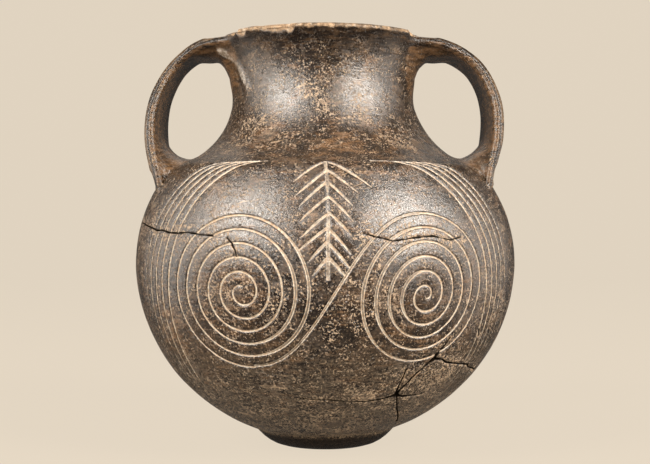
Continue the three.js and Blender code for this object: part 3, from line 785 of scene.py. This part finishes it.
# the black is the clay's own colour, and it is also the colour of painted shade
finish = {
    "sootAndShade": (0.006, 0.004, 0.003, 1), "brown": (0.040, 0.024, 0.013, 1), "warm": (0.125, 0.068, 0.032, 1),
    "film": (0.095, 0.072, 0.049, 1), "grain": (0.36, 0.26, 0.165, 1), "paste": (0.44, 0.385, 0.31, 1),
    "core": (0.34, 0.235, 0.145, 1), "dirt": (0.140, 0.090, 0.050, 1), "smear": (0.30, 0.26, 0.22, 1),
    "gap": (0.004, 0.003, 0.002, 1),
}

def burnishedClay():
    material = bpy.data.materials.new("burnishedClay")
    material.use_nodes = True
    tree = material.node_tree
    tree.nodes.clear()
    make = nodeMaker(tree)
    place = make("TexCoord").outputs["Object"]
    mm = make("Mapping", {"Vector": place, "Scale": (1000, 1000, 1000)}).outputs["Vector"]
    level = make("Mapping", {"Vector": place, "Scale": (200, 200, 1000)}).outputs["Vector"]
    slanted = make("Mapping", {"Vector": place, "Rotation": (0.0, 0.5, 0.3),
                               "Scale": (250, 250, 1100)}).outputs["Vector"]
    height = make("SeparateXYZ", {"Vector": mm}).outputs["Z"]

    def noise(size, detail, rough, where=mm, bend=0.0):
        node = make("TexNoise", {"Vector": where, "Scale": 1.0 / size, "Detail": detail,
                                 "Roughness": rough, "Distortion": bend})
        return node.outputs["Fac"]

    def ramp(value, low, high, bottom=0.0, top=1.0):
        node = make("MapRange", {"Value": value, "From Min": low, "From Max": high,
                                 "To Min": bottom, "To Max": top}, interpolation_type="SMOOTHSTEP")
        return node.outputs["Result"]

    def maths(kind, a, b, clamp=False):
        return make("Math", {0: a, 1: b}, operation=kind, use_clamp=clamp).outputs["Value"]

    def blend(share, a, b):
        return make("Mix", {0: share, 6: a, 7: b}, data_type="RGBA").outputs[2]

    def without(share):
        return maths("SUBTRACT", 1.0, share)

    def times(*values):
        total = values[0]
        for value in values[1:]:
            total = maths("MULTIPLY", total, value)
        return total

    def field(name):
        return make("Attribute", attribute_name=name).outputs["Fac"]

    lineGap, lineFill, lineSplit = field("lineGap"), field("lineFill"), field("lineSplit")
    crackGap, bare, smear = field("crackGap"), field("bare"), field("smear")
    inside, strap, belowLip = field("inside"), field("strap"), field("belowLip")
    border, outOfMiddle = field("border"), field("outOfMiddle")
    warmZone, paleZone, darkZone = field("warmZone"), field("paleZone"), field("darkZone")

    patches = noise(30.0, 3.0, 0.55, bend=0.6)
    mottle = noise(6.0, 6.0, 0.70, bend=0.8)
    speckle = noise(1.5, 5.0, 0.75)
    grit = noise(0.75, 3.0, 0.72)
    strokes = noise(1.3, 5.0, 0.66, where=level)
    scuffs = noise(1.0, 4.0, 0.70, where=slanted)
    clouds = noise(13.0, 5.0, 0.62, bend=1.2)

    # ground: sooty black to brown by broad patches, mottle and burnishing strokes
    tone = maths("ADD", maths("ADD", times(patches, 0.30), times(mottle, 0.42)), times(strokes, 0.28))
    tone = maths("SUBTRACT", tone, times(darkZone, 0.065))
    ground = blend(ramp(tone, 0.40, 0.60), finish["sootAndShade"], finish["brown"])
    warmth = maths("ADD", maths("ADD", times(clouds, 0.6), times(mottle, 0.4)), times(warmZone, 0.11))
    ground = blend(times(ramp(warmth, 0.49, 0.66), ramp(strokes, 0.40, 0.60), 0.80), ground, finish["warm"])
    # a pale film, thinner over the spirals; paler low down, partly film and partly painted light from the
    # floor below
    film = times(ramp(noise(20.0, 4.0, 0.6, bend=0.5), 0.42, 0.62), ramp(scuffs, 0.38, 0.66))
    atSpirals = times(ramp(height, 48.0, 60.0), ramp(height, 114.0, 100.0))
    film = times(film, maths("SUBTRACT", 0.35, times(atSpirals, 0.22)))
    # paler towards the bottom: partly film, partly painted light from the floor below
    lowFilmAndBounceLight = times(ramp(height, 56.0, 20.0), ramp(scuffs, 0.34, 0.60), 0.95)
    ground = blend(maths("MAXIMUM", film, lowFilmAndBounceLight), ground, finish["film"])
    ground = blend(times(ramp(strokes, 0.54, 0.72), 0.45), ground, finish["warm"])
    ground = blend(times(ramp(speckle, 0.54, 0.68), 0.55), ground, finish["dirt"])
    ground = blend(times(ramp(speckle, 0.47, 0.36), 0.85), ground, finish["sootAndShade"])
    ground = blend(times(ramp(grit, 0.46, 0.36), 0.85), ground, finish["sootAndShade"])
    ground = blend(times(ramp(grit, 0.56, 0.66), 0.35), ground, finish["film"])

    # ochre grains: many on the neck, the lower body, the handles and along the breaks
    lowZone = ramp(height, 40.0, 12.0)
    nearCrack = ramp(crackGap, 6.0, 0.0)
    zonesAll = maths("MAXIMUM", maths("MAXIMUM", times(lowZone, 0.7), paleZone), times(nearCrack, 0.8))
    crumbs = maths("ADD", times(grit, 0.62), times(noise(5.0, 5.0, 0.72, bend=0.7), 0.38))
    crumbs = maths("ADD", crumbs, times(zonesAll, 0.066))
    grainShare = times(ramp(crumbs, 0.560, 0.615), 0.85)
    ground = blend(grainShare, ground, blend(ramp(speckle, 0.42, 0.62), finish["dirt"], finish["grain"]))
    ground = blend(times(ramp(noise(0.8, 2.0, 0.5), 0.69, 0.73), 0.8), ground, finish["grain"])
    scratch = maths("ABSOLUTE", maths("SUBTRACT", noise(9.0, 2.0, 0.5, where=slanted, bend=0.3), 0.5), 0.0)
    scratch = times(ramp(scratch, 0.0045, 0.0015), ramp(noise(12.0, 2.0, 0.5), 0.56, 0.62))
    ground = blend(times(scratch, 0.5), ground, finish["grain"])

    # the lip: painted shade under its edge, worn pale on it
    shadeUnderLip = times(ramp(maths("ADD", belowLip, times(mottle, 9.0)), 19.0, 7.5), 0.88)
    ground = blend(shadeUnderLip, ground, blend(ramp(strokes, 0.46, 0.66), finish["sootAndShade"], finish["brown"]))
    edge = maths("ADD", belowLip, times(maths("SUBTRACT", noise(3.0, 4.0, 0.7), 0.5), 3.4))
    wornEdge = times(ramp(edge, 1.9, 1.2), without(strap), ramp(mottle, 0.40, 0.54, 0.25, 0.9))
    paleClay = blend(ramp(noise(1.4, 4.0, 0.7), 0.40, 0.62), finish["dirt"], finish["core"])
    paleClay = blend(times(ramp(noise(2.1, 3.0, 0.6), 0.54, 0.66), 0.5), paleClay, finish["paste"])
    ground = blend(wornEdge, ground, paleClay)

    # painted shade: the foot and the inside are darker; the handle's borders are worn pale
    ground = blend(times(ramp(height, 7.5, 4.8), 0.92), ground, finish["sootAndShade"])
    ground = blend(times(inside, 0.6), ground, finish["sootAndShade"])
    atBorder = ramp(border, 2.6, 1.6)
    outerEdge = times(atBorder, ramp(outOfMiddle, 1.15, 1.5), ramp(mottle, 0.40, 0.56))
    ground = blend(times(outerEdge, 0.5), ground, finish["dirt"])
    # painted shade in the groove along each strap's edge
    grooveShade = times(atBorder, ramp(outOfMiddle, 0.35, 0.8), ramp(outOfMiddle, 1.5, 1.2))
    ground = blend(times(grooveShade, 0.75), ground, finish["sootAndShade"])
    faceTone = times(atBorder, ramp(outOfMiddle, 0.7, 0.3), ramp(strokes, 0.40, 0.62))
    ground = blend(times(faceTone, 0.55), ground, finish["warm"])
    ground = blend(times(strap, ramp(outOfMiddle, -0.9, -1.6), 0.55), ground,
                   blend(ramp(strokes, 0.40, 0.60), finish["brown"], finish["warm"]))
    # painted highlight: the smear on the neck is coloured pale along its ridge
    smearHighlightColour = blend(ramp(speckle, 0.42, 0.60), finish["film"], finish["smear"])
    ground = blend(times(ramp(smear, 0.25, 0.8), 0.75), ground, smearHighlightColour)
    ground = blend(bare, ground, paleClay)

    # pale paste in the lines, thinner where it has fallen out, with a painted shadow as a dark hem
    wobble = times(maths("SUBTRACT", noise(0.8, 3.0, 0.6), 0.5), 0.40)
    gap = maths("ADD", lineGap, wobble)
    body = ramp(gap, 0.05, -0.12)
    middle = times(ramp(lineGap, -0.18, -0.38), lineSplit)
    held = ramp(maths("SUBTRACT", lineFill, times(noise(2.0, 4.0, 0.75), 0.95)), 0.0, 0.34)
    pasteShare = times(body, held, without(times(middle, 0.8)))
    pasteColour = blend(ramp(noise(0.9, 3.0, 0.65), 0.40, 0.60), finish["core"], finish["paste"])
    # painted shadow: a dark hem round each line
    ground = blend(times(ramp(lineGap, 0.7, 0.0), 0.55), ground, finish["sootAndShade"])
    ground = blend(pasteShare, ground, pasteColour)

    # breaks are black inside, with pale worn clay along some of their edges
    chipped = times(ramp(crackGap, 0.9, 0.2), ramp(noise(3.2, 3.0, 0.6), 0.53, 0.62))
    ground = blend(times(chipped, 0.6), ground, finish["core"])
    inCrack = ramp(crackGap, 0.26, 0.06)
    ground = blend(inCrack, ground, finish["gap"])

    # burnished clay is smooth; paste, grains, chips and breaks are rough
    polish = ramp(mottle, 0.36, 0.64, 0.16, 0.28)
    polish = maths("ADD", polish, times(maths("SUBTRACT", grit, 0.5), 0.35))
    polish = maths("ADD", polish, times(ramp(noise(11.0, 4.0, 0.65, bend=0.8), 0.50, 0.64), 0.10))
    rougher = maths("MAXIMUM", maths("MAXIMUM", pasteShare, bare), maths("MAXIMUM", grainShare, wornEdge))
    rougher = maths("MAXIMUM", maths("MAXIMUM", rougher, inCrack), times(inside, 0.8))
    polish = maths("ADD", polish, times(rougher, 0.40), True)

    # fine relief of grit, strokes, scuffs and small pits
    relief = maths("ADD", times(grit, 0.45), times(speckle, 0.7))
    relief = maths("ADD", relief, times(strokes, 0.60))
    relief = maths("ADD", relief, times(scuffs, 0.25))
    pits = make("TexVoronoi", {"Vector": mm, "Scale": 0.34, "Randomness": 1.0}).outputs["Distance"]
    relief = maths("SUBTRACT", relief, times(ramp(pits, 0.17, 0.06), 1.3))
    relief = maths("ADD", relief, times(grainShare, 0.4))
    relief = maths("SUBTRACT", relief, times(pasteShare, 0.35))
    bump = make("Bump", {"Strength": 0.75, "Distance": 0.00030, "Height": relief}).outputs["Normal"]

    # little shine on the foot, the straps and under the lip, none in the breaks
    dull = times(maths("MAXIMUM", times(strap, 0.75), shadeUnderLip), 0.75)
    gleam = times(ramp(height, 5.0, 11.0, 0.15, 0.95), without(dull), without(inCrack))
    shader = make("BsdfPrincipled", {"Base Color": ground, "Roughness": polish, "Normal": bump,
                                     "Specular IOR Level": gleam})
    make("OutputMaterial", {"Surface": shader.outputs["BSDF"]})
    return material

amphora.data.materials.append(burnishedClay())
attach(amphora, "root")
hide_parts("amphora")
print("clay material made")

stage = {
    "backdrop": (0.760, 0.665, 0.539, 1), "bounce": 0.03,
    "size": 6.0, "columns": 9, "floorEnd": 1.6, "bendRadius": 0.8, "top": 3.2,
}

def sheetSurface(back, high):
    # a profile of depth and height, carried sideways
    n = stage["columns"]
    x = np.linspace(-stage["size"] / 2, stage["size"] / 2, n)
    points = np.stack([np.repeat(x[None, :], len(back), 0), np.repeat(back[:, None], n, 1),
                       np.repeat(high[:, None], n, 1)], axis=2).reshape(-1, 3)
    a = (np.arange(len(back) - 1)[:, None] * n + np.arange(n - 1)).ravel()
    return points, np.vstack([np.stack([a, a + 1, a + n + 1], 1), np.stack([a, a + n + 1, a + n], 1)])

def stageMaterial():
    # paper that shows one even tone, whatever light falls on it
    material = bpy.data.materials.new("palePaper")
    material.use_nodes = True
    tree = material.node_tree
    tree.nodes.clear()
    make = nodeMaker(tree)
    glow = make("Emission", {"Color": stage["backdrop"], "Strength": 1.0}).outputs["Emission"]
    plain = make("BsdfDiffuse", {"Color": stage["backdrop"]}).outputs["BSDF"]
    both = make("MixShader", {0: stage["bounce"], 1: glow, 2: plain}).outputs["Shader"]
    make("OutputMaterial", {"Surface": both})
    return material

bend = np.linspace(0.0, math.pi / 2, 14)
paper = stageMaterial()
floorEnd, bendRadius = stage["floorEnd"], stage["bendRadius"]
floor = meshObject("paleFloor", *sheetSurface(np.array([-stage["size"] / 2, floorEnd]), np.zeros(2)))
backdrop = meshObject("paleBackdrop", *sheetSurface(
    np.concatenate([floorEnd + bendRadius * np.sin(bend), [floorEnd + bendRadius]]),
    np.concatenate([bendRadius - bendRadius * np.cos(bend), [stage["top"]]])))
for sheet in (floor, backdrop):
    sheet.data.polygons.foreach_set("use_smooth", np.ones(len(sheet.data.polygons), dtype=bool))
    sheet.data.materials.append(paper)
    sheet.visible_glossy = False
backdrop.visible_diffuse = False

lamps = [
    {"name": "leftBox", "azimuth": -51.0, "elevation": 29.0, "distance": 0.95,
     "size": (0.30, 0.56), "power": 16.5},
    {"name": "rightBox", "azimuth": 50.0, "elevation": 29.0, "distance": 0.95,
     "size": (0.30, 0.56), "power": 20.0},
    {"name": "leftPanel", "azimuth": -98.0, "elevation": 6.0, "distance": 1.1,
     "size": (0.7, 0.9), "power": 6.4},
    {"name": "rightPanel", "azimuth": 98.0, "elevation": 6.0, "distance": 1.1,
     "size": (0.7, 0.9), "power": 6.0},
    {"name": "lowFill", "azimuth": 0.0, "elevation": -13.0, "distance": 0.30,
     "size": (0.6, 0.06), "power": 1.05, "shine": False},
    {"name": "backFill", "azimuth": 180.0, "elevation": 42.0, "distance": 1.6,
     "size": (1.6, 0.8), "power": 5.0},
]

def lamp(settings):
    # a soft box that looks at the middle of the amphora
    light = bpy.data.lights.new(settings["name"], "AREA")
    light.shape = "RECTANGLE"
    light.size, light.size_y = settings["size"]
    light.energy = settings["power"]
    light.color = (1.0, 0.92, 0.83)
    thing = bpy.data.objects.new(settings["name"], light)
    a, e = math.radians(settings["azimuth"]), math.radians(settings["elevation"])
    aim = np.array([math.sin(a) * math.cos(e), -math.cos(a) * math.cos(e), math.sin(e)])
    thing.location = np.array([0.0, 0.0, 0.09]) + aim * settings["distance"]
    thing.rotation_euler = (math.pi / 2 - e, 0.0, a)
    thing.visible_glossy = settings.get("shine", True)
    bpy.context.scene.collection.objects.link(thing)

for settings in lamps:
    lamp(settings)

print("lamps set")

world = bpy.data.worlds.new("studio")
bpy.context.scene.world = world
world.use_nodes = True
world.node_tree.nodes["Background"].inputs["Color"].default_value = (1.0, 0.96, 0.90, 1)
world.node_tree.nodes["Background"].inputs["Strength"].default_value = 0.10

camera = bpy.data.objects.new("camera", bpy.data.cameras.new("camera"))
camera.data.sensor_width = 36.0
camera.data.lens = 62.58
camera.data.clip_start, camera.data.clip_end = 0.01, 50.0
camera.location = (0.0, -0.4523, 0.0836)
camera.rotation_euler = (math.pi / 2, 0.0, 0.0)
bpy.context.scene.collection.objects.link(camera)
bpy.context.scene.camera = camera
bpy.context.scene.view_settings.view_transform = "Standard"
print("stage and camera set")
